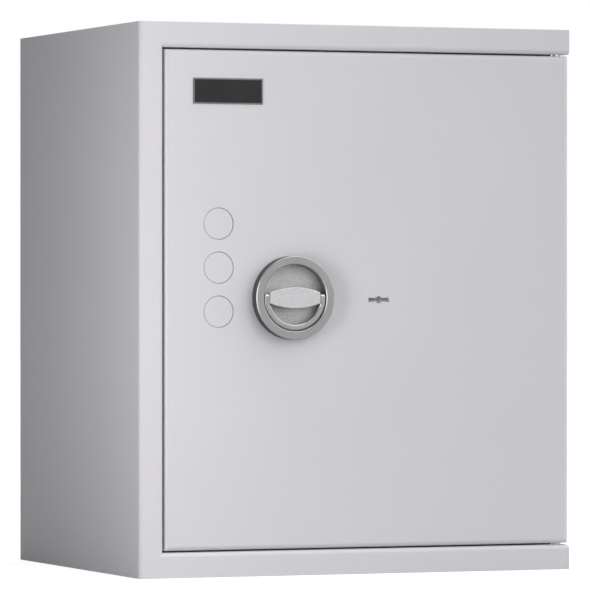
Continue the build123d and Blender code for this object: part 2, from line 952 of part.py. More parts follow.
# Four screws that hold the ring from behind the front plate.
with BuildPart() as rim_screws:
    for turn in range(4):
        angle = radians(45 + 90 * turn)
        screw_x = handle_x + rim_screw_circle * cos(angle)
        screw_z = handle_z + rim_screw_circle * sin(angle)
        screw_tip = door_plate_back - rim_screw_length
        screw_end = door_plate_back + flat_head_height
        rod_in(screw_x, screw_z, rim_screw_radius, screw_tip, door_plate_back)
        rod_in(screw_x, screw_z, rim_screw_head_radius, door_plate_back, screw_end)
rim_screws.part.label = "rim_screws"
export_step(rim_screws.part, "parts/rim_screws.step")

# Turning dish: the recessed floor behind the grip, with a hub for the spindle.
dish_back = dish_floor + dish_floor_thickness
hub_back = dish_back + hub_length
with BuildPart() as handle_dish:
    rod_in(handle_x, handle_z, dish_radius, dish_floor, dish_back)
    rod_in(handle_x, handle_z, hub_radius, dish_back, hub_back)
    with BuildSketch(front_plane(hub_back, handle_x, handle_z)):
        Rectangle(spindle_square + 0.1, spindle_square + 0.1)
    extrude(amount=hub_length, mode=Mode.SUBTRACT)
    for side in (-1, 1):
        rod_in(
            handle_x + side * bridge_pillar_offset,
            handle_z,
            bridge_screw_radius + 0.15,
            dish_floor,
            dish_back,
            Mode.SUBTRACT,
        )
handle_dish.part.label = "handle_dish"
export_step(handle_dish.part, "parts/handle_dish.step")

# Bridge across the dish: a lens-shaped face on two pillars.
with BuildPart() as handle_bridge:
    with BuildSketch(front_plane(rim_face, handle_x, handle_z)):
        with BuildLine():
            upper = ThreePointArc(
                (-bridge_half_length, bridge_end_half_height),
                (0, bridge_half_height),
                (bridge_half_length, bridge_end_half_height),
            )
            lower = ThreePointArc(
                (bridge_half_length, -bridge_end_half_height),
                (0, -bridge_half_height),
                (-bridge_half_length, -bridge_end_half_height),
            )
            Line(upper @ 1, lower @ 0)
            Line(lower @ 1, upper @ 0)
        make_face()
    extrude(amount=-bridge_thickness)
    bridge_rim = handle_bridge.faces().sort_by(Axis.Y)[0].edges()
    fillet(bridge_rim, 0.9)
    for side in (-1, 1):
        pillar_x = handle_x + side * bridge_pillar_offset
        rod_in(pillar_x, handle_z, bridge_pillar_radius, rim_face + 3, dish_floor)
        tap_radius = bridge_screw_radius + 0.05
        rod_in(pillar_x, handle_z, tap_radius, rim_face + 5, dish_floor, Mode.SUBTRACT)
        rod_across(
            bail_pivot_depth,
            handle_z,
            bail_pin_radius,
            handle_x + side * 25.5 - 4.5,
            handle_x + side * 25.5 + 4.5,
            Mode.SUBTRACT,
        )
handle_bridge.part.label = "handle_bridge"
export_step(handle_bridge.part, "parts/handle_bridge.step")

# Two screws that hold the bridge from behind the dish.
with BuildPart() as bridge_screws:
    for side in (-1, 1):
        pillar_x = handle_x + side * bridge_pillar_offset
        rod_in(pillar_x, handle_z, bridge_screw_radius, rim_face + 6, dish_back)
        rod_in(pillar_x, handle_z, bridge_screw_head_radius, dish_back, dish_back + flat_head_height)
bridge_screws.part.label = "bridge_screws"
export_step(bridge_screws.part, "parts/bridge_screws.step")

# Half-ring grip that folds out of the dish.
with BuildPart() as handle_bail:
    with BuildSketch(front_plane(bail_front, handle_x, handle_z)):
        Circle(bail_outer_radius)
        Circle(bail_inner_radius, mode=Mode.SUBTRACT)
        with Locations((0, bail_top + bail_outer_radius)):
            Rectangle(2 * bail_outer_radius + 2, 2 * bail_outer_radius, mode=Mode.SUBTRACT)
        for side in (-1, 1):
            with Locations((side * (bridge_half_length - 3), bail_top - bail_step_length / 2)):
                Rectangle(6.6, bail_step_length, mode=Mode.SUBTRACT)
    extrude(amount=bail_front - bail_back)
    bail_end_edges = handle_bail.faces().sort_by(Axis.Y)[0].edges().group_by(Axis.Z)[-1]
    fillet(bail_end_edges, bail_end_radius)
    bail_face_edges = handle_bail.faces().sort_by(Axis.Y)[0].edges()
    bail_rims = bail_face_edges.group_by(Axis.Z)[:-1]
    fillet([edge for group in bail_rims for edge in group], 1.3)
    bail_rear_rims = handle_bail.faces().sort_by(Axis.Y)[-1].edges()
    fillet(bail_rear_rims, 0.8)
    rod_across(
        bail_pivot_depth,
        handle_z,
        bail_pin_radius + running_clearance,
        handle_x - rim_radius,
        handle_x + rim_radius,
        Mode.SUBTRACT,
    )
handle_bail.part.label = "handle_bail"
export_step(handle_bail.part, "parts/handle_bail.step")

# Two pins in the ends of the bridge that the half-ring turns on.
with BuildPart() as bail_pins:
    for side in (-1, 1):
        rod_across(
            bail_pivot_depth,
            handle_z,
            bail_pin_radius,
            handle_x + side * bridge_half_length - 5.5,
            handle_x + side * bridge_half_length + 5.5,
        )
bail_pins.part.label = "bail_pins"
export_step(bail_pins.part, "parts/bail_pins.step")

# Spindle: a round shaft with a square at each end and a stub for the retaining ring.
with BuildPart() as handle_spindle:
    cam_back = cam_front + cam_thickness
    rod_in(handle_x, handle_z, spindle_radius, hub_back, cam_front - 1.5)
    block(
        handle_x - spindle_square / 2,
        handle_x + spindle_square / 2,
        dish_back,
        cam_back,
        handle_z - spindle_square / 2,
        handle_z + spindle_square / 2,
    )
    rod_in(handle_x, handle_z, spindle_stub_radius, cam_back, cam_back + 1.9)
handle_spindle.part.label = "handle_spindle"
export_step(handle_spindle.part, "parts/handle_spindle.step")

# Flanged bush that carries the spindle in the mounting plate.
with BuildPart() as spindle_bush:
    bush_bore = spindle_radius + running_clearance
    rod_in(handle_x, handle_z, bush_radius, bush_front, bush_back)
    rod_in(handle_x, handle_z, bush_flange_radius, door_back, door_back + bush_flange_sheet)
    rod_in(handle_x, handle_z, bush_bore, bush_front, bush_back, Mode.SUBTRACT)
spindle_bush.part.label = "spindle_bush"
export_step(spindle_bush.part, "parts/spindle_bush.step")

# Cam disc: three spiral slots draw the bolt bars out by the same amount in a quarter turn.
# Two notches in its edge let the lock bolt hold it at either end of the turn.
with BuildPart() as cam_disc:
    with BuildSketch(front_plane(cam_front, handle_x, handle_z)):
        Circle(cam_radius)
        Rectangle(spindle_square + 0.1, spindle_square + 0.1, mode=Mode.SUBTRACT)
        slot_half_width = follower_radius + follower_clearance
        for start_angle in (90, 180, 270):
            slot_points = []
            for step in range(13):
                share = step / 12
                radius = cam_slot_start + bolt_throw * share
                angle = radians(start_angle - 90 * share)
                slot_points.append((radius * cos(angle), radius * sin(angle)))
            with BuildLine():
                Spline(*slot_points)
            trace(line_width=2 * slot_half_width, mode=Mode.SUBTRACT)
            with Locations(slot_points[0], slot_points[-1]):
                Circle(slot_half_width, mode=Mode.SUBTRACT)
        for turn in (0, -90):
            with Locations(Location((0, 0), turn)):
                with Locations((cam_notch_floor + 10, key_z - handle_z)):
                    Rectangle(20, 2 * tongue_half_height + 0.8, mode=Mode.SUBTRACT)
    extrude(amount=-cam_thickness)
cam_disc.part.label = "cam_disc"
export_step(cam_disc.part, "parts/cam_disc.step")

# Retaining ring behind the cam disc.
with BuildPart() as spindle_clip:
    with BuildSketch(front_plane(cam_back, handle_x, handle_z)):
        Circle(8)
        Circle(spindle_stub_radius, mode=Mode.SUBTRACT)
        with Locations((0, -8)):
            Rectangle(4, 8, mode=Mode.SUBTRACT)
    extrude(amount=-1.5)
spindle_clip.part.label = "spindle_clip"
export_step(spindle_clip.part, "parts/spindle_clip.step")

# ======================= boltwork =======================

# Side bolts: round bar with a chamfered nose and a threaded stud.
side_bolt_root = side_bolt_tip + 34
side_bar_back = side_bolt_root + side_bar_sheet
with BuildPart() as side_bolts:
    for height in side_bolt_heights:
        rod_across(bolt_depth, height, bolt_radius, side_bolt_tip, side_bolt_root)
    bolt_noses = side_bolts.edges().group_by(Axis.X)[0]
    chamfer(bolt_noses, bolt_chamfer)
    for height in side_bolt_heights:
        stud_end = side_bar_back + stud_reach
        rod_across(bolt_depth, height, bolt_stud_radius, side_bolt_root, stud_end)
side_bolts.part.label = "side_bolts"
export_step(side_bolts.part, "parts/side_bolts.step")

# Bar that carries the side bolts, with an arm and follower pin for the cam disc.
with BuildPart() as side_bolt_bar:
    follower_x = handle_x - cam_slot_start
    block(
        side_bolt_root,
        side_bar_back,
        bolt_depth - side_bar_half_depth,
        bolt_depth + side_bar_half_depth,
        -side_bar_half_height,
        side_bar_half_height,
    )
    block(
        side_bar_back,
        follower_x,
        bar_front,
        bar_front + bar_thickness,
        handle_z - bar_half_width,
        handle_z + bar_half_width,
    )
    rod_in(follower_x, handle_z, bar_half_width, bar_front, bar_front + bar_thickness)
    rod_in(follower_x, handle_z, follower_radius, cam_front + follower_gap, bar_front)
    for height in side_bolt_heights:
        hole_radius = bolt_stud_radius + running_clearance
        rod_across(bolt_depth, height, hole_radius, side_bolt_root, side_bar_back, Mode.SUBTRACT)
side_bolt_bar.part.label = "side_bolt_bar"
export_step(side_bolt_bar.part, "parts/side_bolt_bar.step")

# Hexagon nuts on the side bolts' studs.
with BuildPart() as side_bolt_nuts:
    nut_plane = Plane(origin=(side_bar_back, bolt_depth - case_depth, 0), x_dir=(0, 1, 0), z_dir=(1, 0, 0))
    with BuildSketch(nut_plane):
        with Locations(*[(0, height) for height in side_bolt_heights]):
            RegularPolygon(nut_flat_radius, 6, major_radius=False)
            Circle(bolt_stud_radius + 0.02, mode=Mode.SUBTRACT)
    extrude(amount=nut_height)
side_bolt_nuts.part.label = "side_bolt_nuts"
export_step(side_bolt_nuts.part, "parts/side_bolt_nuts.step")


def end_bolt(side):
    """Round bolt of the top (side 1) or bottom (side -1), slotted for its bar."""
    with BuildPart() as bolt:
        rod_up(handle_x, bolt_depth, bolt_radius, side * end_bolt_root, side * end_bolt_tip)
        nose = bolt.edges().group_by(Axis.Z)[-1 if side > 0 else 0]
        chamfer(nose, bolt_chamfer)
        slot = sorted((side * end_bolt_root, side * (end_bar_reach + 0.2)))
        block(
            handle_x - end_slot_half_width,
            handle_x + end_slot_half_width,
            bar_front - 0.05,
            bar_front + bar_thickness + 0.05,
            *slot,
            Mode.SUBTRACT,
        )
        rod_in(
            handle_x,
            side * cross_pin_height,
            cross_pin_radius + running_clearance,
            bolt_depth - pin_bore_half_length,
            bolt_depth + pin_bore_half_length,
            Mode.SUBTRACT,
        )
    return bolt


def end_bolt_bar(side):
    """Flat bar from the cam disc to the top (side 1) or bottom (side -1) bolt."""
    with BuildPart() as bar:
        follower_z = handle_z + side * cam_slot_start
        heights = sorted((follower_z, side * end_bar_reach))
        block(
            handle_x - bar_half_width,
            handle_x + bar_half_width,
            bar_front,
            bar_front + bar_thickness,
            *heights,
        )
        rod_in(handle_x, follower_z, bar_half_width, bar_front, bar_front + bar_thickness)
        rod_in(handle_x, follower_z, follower_radius, cam_front + follower_gap, bar_front)
        rod_in(
            handle_x,
            side * cross_pin_height,
            cross_pin_radius + running_clearance,
            bar_front,
            bar_front + bar_thickness,
            Mode.SUBTRACT,
        )
    return bar


def end_bolt_pin(side):
    """Cross pin that holds the top (side 1) or bottom (side -1) bolt on its bar."""
    with BuildPart() as pin:
        rod_in(
            handle_x,
            side * cross_pin_height,
            cross_pin_radius,
            bolt_depth - pin_half_length,
            bolt_depth + pin_half_length,
        )
    return pin


top_bolt = end_bolt(1)
top_bolt.part.label = "top_bolt"
export_step(top_bolt.part, "parts/top_bolt.step")

top_bolt_bar = end_bolt_bar(1)
top_bolt_bar.part.label = "top_bolt_bar"
export_step(top_bolt_bar.part, "parts/top_bolt_bar.step")

top_bolt_pin = end_bolt_pin(1)
top_bolt_pin.part.label = "top_bolt_pin"
export_step(top_bolt_pin.part, "parts/top_bolt_pin.step")

bottom_bolt = end_bolt(-1)
bottom_bolt.part.label = "bottom_bolt"
export_step(bottom_bolt.part, "parts/bottom_bolt.step")

bottom_bolt_bar = end_bolt_bar(-1)
bottom_bolt_bar.part.label = "bottom_bolt_bar"
export_step(bottom_bolt_bar.part, "parts/bottom_bolt_bar.step")

bottom_bolt_pin = end_bolt_pin(-1)
bottom_bolt_pin.part.label = "bottom_bolt_pin"
export_step(bottom_bolt_pin.part, "parts/bottom_bolt_pin.step")

# ======================= key lock =======================

lock_screw_places = [
    (lock_left + lock_near_inset, -lock_half_height + lock_near_inset),
    (lock_left + lock_near_inset, lock_half_height - lock_near_inset),
    (lock_right - lock_far_inset, -lock_half_height + lock_far_inset),
    (lock_right - lock_far_inset, lock_half_height - lock_far_inset),
]

# Lock case, open at the back, with the post that the levers turn on.
with BuildPart() as lock_case:
    block(lock_left, lock_right, door_back, lock_back, -lock_half_height, lock_half_height)
    block(
        lock_left + lock_wall,
        lock_right - lock_wall,
        door_back + lock_wall,
        lock_back,
        -lock_half_height + lock_wall,
        lock_half_height - lock_wall,
        Mode.SUBTRACT,
    )
    for x, z in lock_screw_places:
        rod_in(x, z, lock_post_radius, door_back, lock_back)
        rod_in(x, z, lock_screw_radius + running_clearance, door_back, lock_back, Mode.SUBTRACT)
    rod_in(*lever_post, lever_post_radius, door_back, lock_back)
    rod_in(key_x, key_z, curtain_radius + running_clearance, door_back, door_back + 3, Mode.SUBTRACT)
    block(
        lock_left - 1,
        lock_left + lock_wall + 1,
        tongue_front - 0.1,
        tongue_back + 0.1,
        key_z - tongue_half_height - 0.1,
        key_z + tongue_half_height + 0.1,
        Mode.SUBTRACT,
    )
lock_case.part.label = "lock_case"
export_step(lock_case.part, "parts/lock_case.step")

# Lock cover.
lock_cover_back = lock_back + lock_cover_sheet
with BuildPart() as lock_cover:
    block(lock_left, lock_right, lock_back, lock_cover_back, -lock_half_height, lock_half_height)
    for x, z in lock_screw_places:
        rod_in(x, z, lock_screw_radius + 0.15, lock_back, lock_cover_back, Mode.SUBTRACT)
    stub_bore = curtain_stub_radius + running_clearance
    rod_in(key_x, key_z, stub_bore, lock_back, lock_cover_back, Mode.SUBTRACT)
lock_cover.part.label = "lock_cover"
export_step(lock_cover.part, "parts/lock_cover.step")

# Four screws through the cover and the case.
with BuildPart() as lock_screws:
    for x, z in lock_screw_places:
        rod_in(x, z, lock_screw_radius, door_back, lock_cover_back)
        head_end = lock_cover_back + lock_screw_head_height
        rod_in(x, z, lock_screw_head_radius, lock_cover_back, head_end)
lock_screws.part.label = "lock_screws"
export_step(lock_screws.part, "parts/lock_screws.step")

# Turning curtain behind the keyhole, slotted for the key.
with BuildPart() as key_curtain:
    curtain_back = lock_back - curtain_end_gap
    rod_in(key_x, key_z, curtain_radius, door_back + 0.2, curtain_back)
    rod_in(key_x, key_z, curtain_stub_radius, curtain_back, lock_cover_back)
    with BuildSketch(front_plane(door_back, key_x, key_z)):
        keyhole_profile(0.2)
    extrude(amount=-curtain_slot_depth, mode=Mode.SUBTRACT)
key_curtain.part.label = "key_curtain"
export_step(key_curtain.part, "parts/key_curtain.step")

# Lock bolt: a tongue that enters the cam disc's notch, and a fork around the curtain.
with BuildPart() as lock_bolt:
    tongue_tip = lock_left - 1.7
    tongue_root = 4.0
    fork_root = 0.0
    fork_end = key_x + 14
    fork_front = door_back + lock_wall + 0.3
    block(tongue_tip, tongue_root, tongue_front, tongue_back, -tongue_half_height, tongue_half_height)
    tongue_nose = lock_bolt.edges().filter_by(Axis.Y).group_by(Axis.X)[0]
    chamfer(tongue_nose, 0.8)
    block(fork_root, fork_end, fork_front, tongue_front, -fork_half_height, fork_half_height)
    with BuildSketch(front_plane(fork_front, key_x, key_z)):
        Circle(curtain_radius + 0.6)
        with Locations((15, 0)):
            Rectangle(30, 2 * curtain_radius + 1.2)
    extrude(amount=-(tongue_front - fork_front), mode=Mode.SUBTRACT)
    rod_in(stump_x, stump_z, stump_radius, tongue_front, lock_back - 0.6)
lock_bolt.part.label = "lock_bolt"
export_step(lock_bolt.part, "parts/lock_bolt.step")

# Pack of levers: plates on one post, with a window for the key and a slot for the stump.
with BuildPart() as lock_levers:
    for index in range(lever_count):
        lever_front = tongue_front + 0.4 + index * lever_pitch
        with BuildSketch(front_plane(lever_front)):
            with Locations((27.5, 0)):
                RectangleRounded(45, 49, 4)
            with Locations((key_x, key_z)):
                Circle(curtain_radius + 0.5, mode=Mode.SUBTRACT)
            with Locations((stump_x - lock_bolt_throw / 2, stump_z)):
                slot_height = 2 * stump_radius + 0.5
                SlotOverall(lock_bolt_throw + 4.6, slot_height, mode=Mode.SUBTRACT)
            with Locations(lever_post):
                Circle(lever_post_radius + running_clearance, mode=Mode.SUBTRACT)
        extrude(amount=-(lever_pitch - 0.15))
lock_levers.part.label = "lock_levers"
export_step(lock_levers.part, "parts/lock_levers.step")
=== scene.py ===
"""Wall safe: materials, floor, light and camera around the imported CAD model.

Metres. +X is to the right seen from the front, +Y goes into the wall, +Z is up, and the origin is
at the centre of the rear face.
"""

import json
import math

import bpy
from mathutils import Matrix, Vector


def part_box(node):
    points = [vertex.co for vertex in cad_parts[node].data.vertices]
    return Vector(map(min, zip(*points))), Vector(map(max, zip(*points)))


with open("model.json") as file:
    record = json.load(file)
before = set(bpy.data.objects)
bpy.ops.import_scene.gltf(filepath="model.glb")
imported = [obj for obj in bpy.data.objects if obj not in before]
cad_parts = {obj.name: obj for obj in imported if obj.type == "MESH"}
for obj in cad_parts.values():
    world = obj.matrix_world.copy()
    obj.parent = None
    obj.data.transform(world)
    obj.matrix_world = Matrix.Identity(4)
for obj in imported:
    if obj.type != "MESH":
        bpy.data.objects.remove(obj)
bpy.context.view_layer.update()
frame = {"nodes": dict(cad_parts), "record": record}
nodes = frame["nodes"]
scene = bpy.context.scene

MM = 0.001

# ---------------------------------------------------------------- driving values

PAINT = (0.765, 0.75, 0.79, 1.0)             # light grey powder paint
RIM_FACE = 9.0 * MM                          # width of the turned ring's flat face
PLATE_BORDER = 1.6 * MM                      # bare edge round the black plate

FLOOR_SIZE = 30.0
FLOOR_DROP = 0.3 * MM                        # floor below the casing, so that the two never share a plane
FLOOR_LIFT = 0.86                            # brightness added where the camera sees the floor

UNDER_GLOW = 0.5                             # soft light on the underside, from the floor it stands on
UNDER_REACH = 1.0 * MM

STRIP_WATTS = 4.6                            # upright strip light off the front left corner
STRIP_ASIDE = 0.95
STRIP_AHEAD = 0.45
STRIP_Z = 0.02
STRIP_WIDE = 0.30
STRIP_TALL = 0.75
TOP_WATTS = 3.0                              # soft box above
REAR_WATTS = 16.0                            # soft box behind and to the right

GLOW_WAY = (0.35, -0.65, 0.68)               # direction of the surroundings' soft glow
GLOW_EDGE = 0.10                             # cosines at which the glow starts and is full
GLOW_CORE = 0.65
GLOW_HIGH = 1.70
GLOW_LEFT_END = -0.15                        # x directions between which the glow is cut off on the left
GLOW_LEFT_FULL = 0.10

CAMERA_PLACE = (-2.0331, -5.3525, 0.01406)
CAMERA_TURN = 21.6                           # degrees round the upright axis
CAMERA_LENS = 293.46
CAMERA_SENSOR = 36.0
CAMERA_SHIFT_UP = -0.0218

# ---------------------------------------------------------------- places read from the frame

casing_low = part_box("outer_casing")[0]
rim_low, rim_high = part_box("handle_rim")
plate_low, plate_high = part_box("name_plate")
handle_centre = (rim_low + rim_high) / 2
rim_outer = (rim_high.x - rim_low.x) / 2
front_y = casing_low.y


# ---------------------------------------------------------------- shader helpers

class Shader:
    """A material's node tree with short ways to add and join nodes."""

    def __init__(self, name):
        self.material = bpy.data.materials.new(name)
        self.material.use_nodes = True
        self.tree = self.material.node_tree
        self.tree.nodes.clear()
        self.output = self.node("ShaderNodeOutputMaterial")
        self.surface = self.node("ShaderNodeBsdfPrincipled")
        self.join(self.surface.outputs["BSDF"], self.output.inputs["Surface"])
        self.place = self.node("ShaderNodeTexCoord").outputs["Object"]

    def node(self, kind, **settings):
        made = self.tree.nodes.new(kind)
        for key, value in settings.items():
            setattr(made, key, value)
        return made

    def join(self, source, target):
        self.tree.links.new(source, target)

    def feed(self, target, value):
        """Gives an input a value: a socket is joined, anything else is set."""
        if isinstance(value, bpy.types.NodeSocket):
            self.join(value, target)
        else:
            target.default_value = value

    def math(self, operation, first, second=0.0, third=0.0):
        made = self.node("ShaderNodeMath", operation=operation)
        for slot, value in zip(made.inputs, (first, second, third)):
            self.feed(slot, value)
        return made.outputs[0]

    def vector(self, operation, first, second=(0, 0, 0)):
        made = self.node("ShaderNodeVectorMath", operation=operation)
        self.feed(made.inputs[0], first)
        self.feed(made.inputs[1], second)
        return made.outputs["Value"] if operation in ("LENGTH", "DOT_PRODUCT") else made.outputs[0]

    def noise(self, scale, detail=2.0, roughness=0.5, place=None, distortion=0.0):
        made = self.node("ShaderNodeTexNoise")
        self.join(place or self.place, made.inputs["Vector"])
        made.inputs["Scale"].default_value = scale
        made.inputs["Detail"].default_value = detail
        made.inputs["Roughness"].default_value = roughness
        made.inputs["Distortion"].default_value = distortion
        return made.outputs["Fac"]

    def stretch(self, factors):
        """The object's own coordinates, each axis multiplied by a factor."""
        return self.vector("MULTIPLY", self.place, factors)

    def span(self, value, low, high, new_low=0.0, new_high=1.0):
        """Maps low..high to new_low..new_high, held at both ends."""
        made = self.node("ShaderNodeMapRange")
        for slot, item in zip(made.inputs, (value, low, high, new_low, new_high)):
            self.feed(slot, item)
        return made.outputs[0]

    def blend(self, share, first, second):
        """Colour from first to second."""
        made = self.node("ShaderNodeMix", data_type="RGBA")
        self.feed(made.inputs["Factor"], share)
        self.feed(made.inputs["A"], first)
        self.feed(made.inputs["B"], second)
        return made.outputs["Result"]

    def tint(self, colour, factor):
        """Colour times a grey factor."""
        made = self.node("ShaderNodeVectorMath", operation="SCALE")
        self.feed(made.inputs[0], colour if isinstance(colour, bpy.types.NodeSocket) else colour[:3])
        self.feed(made.inputs["Scale"], factor)
        return made.outputs[0]

    def edge(self, radius):
        """1 on sharp outer and inner edges, 0 on flat ground, from a rounded normal."""
        rounded = self.node("ShaderNodeBevel", samples=4)
        rounded.inputs["Radius"].default_value = radius
        plain = self.node("ShaderNodeNewGeometry").outputs["Normal"]
        likeness = self.vector("DOT_PRODUCT", rounded.outputs["Normal"], plain)
        return self.span(likeness, 0.99, 0.72)

    def rounding(self):
        """1 on chamfers and rounded corners between the front faces and the walls, 0 on both."""
        normal = self.node("ShaderNodeTexCoord").outputs["Normal"]
        forward = self.math("ABSOLUTE", self.vector("DOT_PRODUCT", normal, (0.0, 1.0, 0.0)))
        return self.math("MULTIPLY", self.span(forward, 0.98, 0.85), self.span(forward, 0.1, 0.4))

    def relief(self, *layers, radius=0.0):
        """Bump layers, each (height socket, strength, distance in metres), over a rounded normal."""
        normal = None
        if radius:
            rounded = self.node("ShaderNodeBevel", samples=4)
            rounded.inputs["Radius"].default_value = radius
            normal = rounded.outputs["Normal"]
        for height, strength, distance in layers:
            bump = self.node("ShaderNodeBump")
            bump.inputs["Strength"].default_value = strength
            bump.inputs["Distance"].default_value = distance
            self.join(height, bump.inputs["Height"])
            if normal is not None:
                self.join(normal, bump.inputs["Normal"])
            normal = bump.outputs["Normal"]
        self.join(normal, self.surface.inputs["Normal"])

    def finish(self, **values):
        """Sets inputs of the surface; underscores in a name stand for spaces."""
        for key, value in values.items():
            self.feed(self.surface.inputs[key.replace("_", " ")], value)
        return self.material


def rgb(red, green, blue):
    return (red, green, blue, 1.0)


# ---------------------------------------------------------------- materials

def powder_coat(name, colour, roughness=0.42, texture=1.0, edge_radius=0.5 * MM):
    """Baked powder paint: fine orange peel, faint cloudiness, thinner and glossier on edges."""
    s = Shader(name)
    cloud = s.noise(5.0, 3.0)
    peel = s.noise(520.0, 1.5, 0.45)
    grain = s.noise(2600.0, 1.0)
    speck = s.span(s.noise(1500.0, 2.0, 0.6), 0.66, 0.74)
    edge = s.edge(1.2 * MM)
    shade = s.math("ADD", s.span(cloud, 0.3, 0.7, 0.985, 1.012), s.math("MULTIPLY", edge, 0.05))
    shade = s.math("SUBTRACT", shade, s.math("MULTIPLY", speck, 0.02))
    rough = s.math("SUBTRACT", s.span(peel, 0.3, 0.7, roughness - 0.04, roughness + 0.05),
                   s.math("MULTIPLY", edge, 0.08))
    s.relief((peel, 0.16 * texture, 0.09 * MM), (grain, 0.12 * texture, 0.02 * MM), radius=edge_radius)
    return s.finish(Base_Color=s.tint(colour, shade), Roughness=rough, IOR=1.48)


def turned_metal(name, colour, roughness, centre, outer, inner):
    """Lathe-turned face with fine rings and chamfers lightened as a painted highlight; the round walls are
    painted near-black as painted shade, the inner wall less dark.
    """
    s = Shader(name)
    from_centre = s.vector("SUBTRACT", s.place, tuple(centre))
    reach = s.vector("LENGTH", s.vector("MULTIPLY", from_centre, (1.0, 0.0, 1.0)))
    ring = s.node("ShaderNodeCombineXYZ")
    s.join(reach, ring.inputs["X"])
    rings = s.noise(2600.0, 3.0, 0.7, place=ring.outputs[0])
    cloud = s.noise(60.0, 3.0)
    grit = s.noise(1500.0, 2.0, 0.6)
    edge = s.rounding()
    outer_wall = s.span(reach, outer - 0.12 * MM, outer - 0.04 * MM)
    inner_wall = s.span(reach, inner + 0.12 * MM, inner + 0.04 * MM)
    wall = s.math("ADD", outer_wall, inner_wall)
    shade = s.math("MULTIPLY", s.span(rings, 0.3, 0.7, 0.93, 1.06), s.span(grit, 0.3, 0.7, 0.95, 1.05))
    shade = s.math("MULTIPLY", shade, s.span(cloud, 0.3, 0.7, 0.97, 1.03))
    # Painted highlight: the chamfers and rounded corners are lightened in the colour.
    shade = s.math("ADD", shade, s.math("MULTIPLY", edge, 0.85))
    rough = s.math("ADD", s.span(grit, 0.3, 0.7, roughness - 0.05, roughness + 0.06),
                   s.math("MULTIPLY", edge, 0.08))
    # Painted shade: the round walls are coloured near-black in place of their shadow, the inner wall lifted
    # up to 2.8 times.
    skin = s.tint(rgb(0.055, 0.052, 0.056), s.span(grit, 0.3, 0.7, 0.8, 1.2))
    skin = s.tint(skin, s.span(inner_wall, 0.0, 1.0, 1.0, 2.8))
    s.relief((rings, 0.15, 0.02 * MM), (grit, 0.15, 0.02 * MM), radius=0.25 * MM)
    return s.finish(Base_Color=s.blend(wall, s.tint(colour, shade), skin),
                    Metallic=s.math("SUBTRACT", 1.0, wall),
                    Roughness=s.math("ADD", rough, s.math("MULTIPLY", wall, 0.15)))


def blasted_metal(name, colour, roughness, metallic, contrast=0.2):
    """Coarsely blasted casting: an even grain of pits and bright flecks, with a finer grit on top, chamfers
    lightened as a painted highlight.
    """
    s = Shader(name)
    pits = s.noise(780.0, 2.0, 0.65)
    fine = s.noise(2400.0, 2.0, 0.6)
    cloud = s.noise(90.0, 2.0)
    edge = s.rounding()
    shade = s.span(pits, 0.32, 0.68, 1.0 - contrast, 1.0 + contrast)
    shade = s.math("MULTIPLY", shade, s.span(fine, 0.3, 0.7, 1.0 - contrast / 2, 1.0 + contrast / 2))
    shade = s.math("MULTIPLY", shade, s.span(cloud, 0.3, 0.7, 0.97, 1.03))
    # Painted highlight: the chamfers and rounded corners are lightened in the colour.
    shade = s.math("ADD", shade, s.math("MULTIPLY", edge, 0.3))
    rough = s.span(fine, 0.3, 0.7, roughness - 0.06, roughness + 0.08)
    s.relief((pits, 0.5, 0.12 * MM), (fine, 0.4, 0.03 * MM), radius=0.25 * MM)
    return s.finish(Base_Color=s.tint(colour, shade), Metallic=metallic, Roughness=rough)


def plated_steel(name, colour, roughness=0.34):
    """Zinc-plated sheet and bar: soft crystalline patches, rolling lines and a faint tint."""
    s = Shader(name)
    crystal = s.node("ShaderNodeTexVoronoi")
    s.join(s.place, crystal.inputs["Vector"])
    crystal.inputs["Scale"].default_value = 210.0
    patch = s.vector("DOT_PRODUCT", crystal.outputs["Color"], (0.33, 0.33, 0.33))
    lines = s.noise(900.0, 2.0, place=s.stretch((1.0, 1.0, 0.05)))
    cloud = s.noise(18.0, 3.0)
    edge = s.edge(0.8 * MM)
    warm = s.blend(s.span(cloud, 0.35, 0.65), colour, rgb(colour[0] * 1.02, colour[1], colour[2] * 0.93))
    shade = s.math("ADD", s.span(patch, 0.2, 0.8, 0.93, 1.05), s.math("MULTIPLY", edge, 0.15))
    rough = s.math("ADD", s.span(lines, 0.3, 0.7, roughness - 0.06, roughness + 0.07),
                   s.span(patch, 0.2, 0.8, -0.03, 0.03))
    s.relief((lines, 0.12, 0.03 * MM), radius=0.3 * MM)
    return s.finish(Base_Color=s.tint(warm, shade), Metallic=1.0, Roughness=rough)


def bright_steel(name, colour, along):
    """Drawn and turned bright steel with fine lines round the piece's long axis."""
    s = Shader(name)
    factors = [0.03, 0.03, 0.03]
    factors["XYZ".index(along)] = 1.0
    lines = s.noise(5200.0, 2.0, 0.6, place=s.stretch(tuple(factors)))
    cloud = s.noise(45.0, 3.0)
    edge = s.edge(0.6 * MM)
    shade = s.math("ADD", s.span(lines, 0.3, 0.7, 0.94, 1.05), s.math("MULTIPLY", edge, 0.12))
    rough = s.span(cloud, 0.3, 0.7, 0.2, 0.3)
    s.relief((lines, 0.18, 0.015 * MM), radius=0.25 * MM)
    return s.finish(Base_Color=s.tint(colour, shade), Metallic=1.0, Roughness=rough)


def cast_metal(name, colour, roughness, metallic=1.0, painted_edge_highlight=0.1):
    """Die casting: soft skin with shallow flow marks and fine grit, chamfers lightened as a painted
    highlight.
    """
    s = Shader(name)
    flow = s.noise(70.0, 4.0, 0.55, distortion=0.8)
    grit = s.noise(1800.0, 2.0)
    edge = s.rounding()
    # Painted highlight: the chamfers and rounded corners are lightened in the colour.
    shade = s.math("ADD", s.span(flow, 0.3, 0.7, 0.93, 1.06), s.math("MULTIPLY", edge, painted_edge_highlight))
    rough = s.span(grit, 0.3, 0.7, roughness - 0.05, roughness + 0.07)
    s.relief((flow, 0.10, 0.15 * MM), (grit, 0.25, 0.03 * MM), radius=0.3 * MM)
    return s.finish(Base_Color=s.tint(colour, shade), Metallic=metallic, Roughness=rough)


